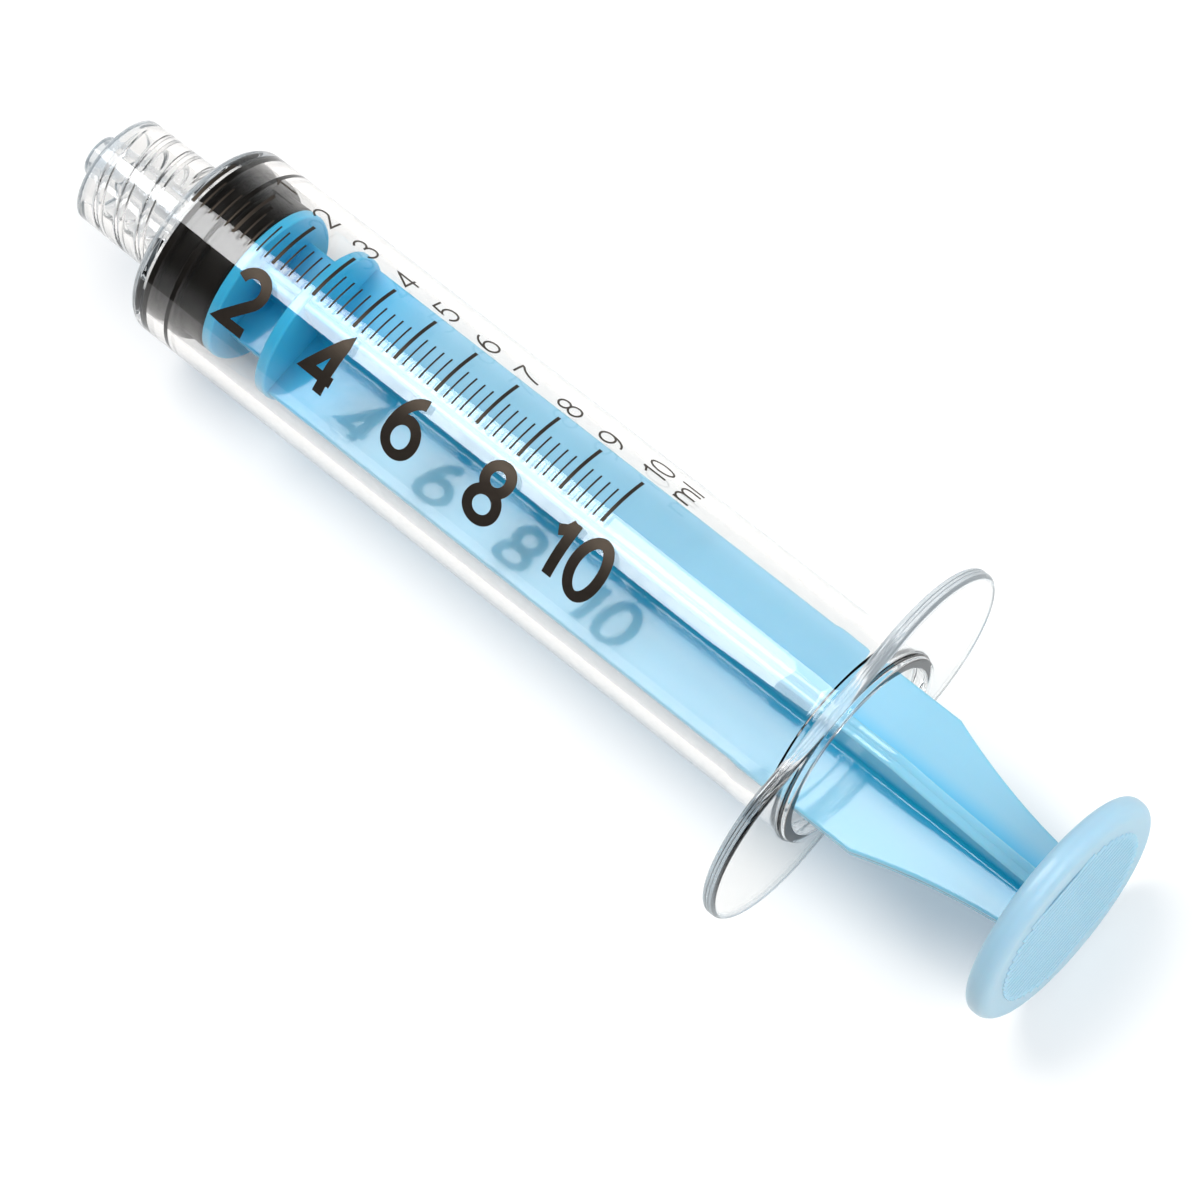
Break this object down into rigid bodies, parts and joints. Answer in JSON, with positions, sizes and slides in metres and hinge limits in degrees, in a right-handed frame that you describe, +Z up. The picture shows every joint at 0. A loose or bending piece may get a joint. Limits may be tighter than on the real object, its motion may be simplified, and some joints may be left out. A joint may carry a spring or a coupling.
{
  "type": "luer lock syringe",
  "caption": "Clear barrel with a luer lock tip, scale and finger flange, holding a rubber stopper on a cross-ribbed plunger rod with a round thumb rest.",
  "frame": {"origin": "on the barrel's axis, in the plane of the luer collar's mouth", "axes": "+X along the axis from the luer tip to the thumb rest, +Y along the flange's long wings, +Z up across the flange's short side"},
  "size_m": [0.1104, 0.0364, 0.022],
  "materials": {
    "clear_plastic": "clear, polished moulding",
    "black_rubber": "smooth, lightly oiled rubber",
    "blue_plastic": "translucent, satin moulding"
  },
  "bodies": {
    "barrel": {"barrel": "clear_plastic"},
    "stopper": {"stopper": "black_rubber"},
    "plunger": {"plunger_rod": "blue_plastic"}
  },
  "joints": [
    {"name": "stopper_slide", "type": "slide", "parent": "barrel", "child": "stopper", "axis": [1, 0, 0], "range_m": [0, 0.0635]},
    {"name": "rod_spin", "type": "hinge", "parent": "stopper", "child": "plunger", "pos_m": [0.017, 0, 0], "axis": [1, 0, 0], "continuous": true}
  ]
}
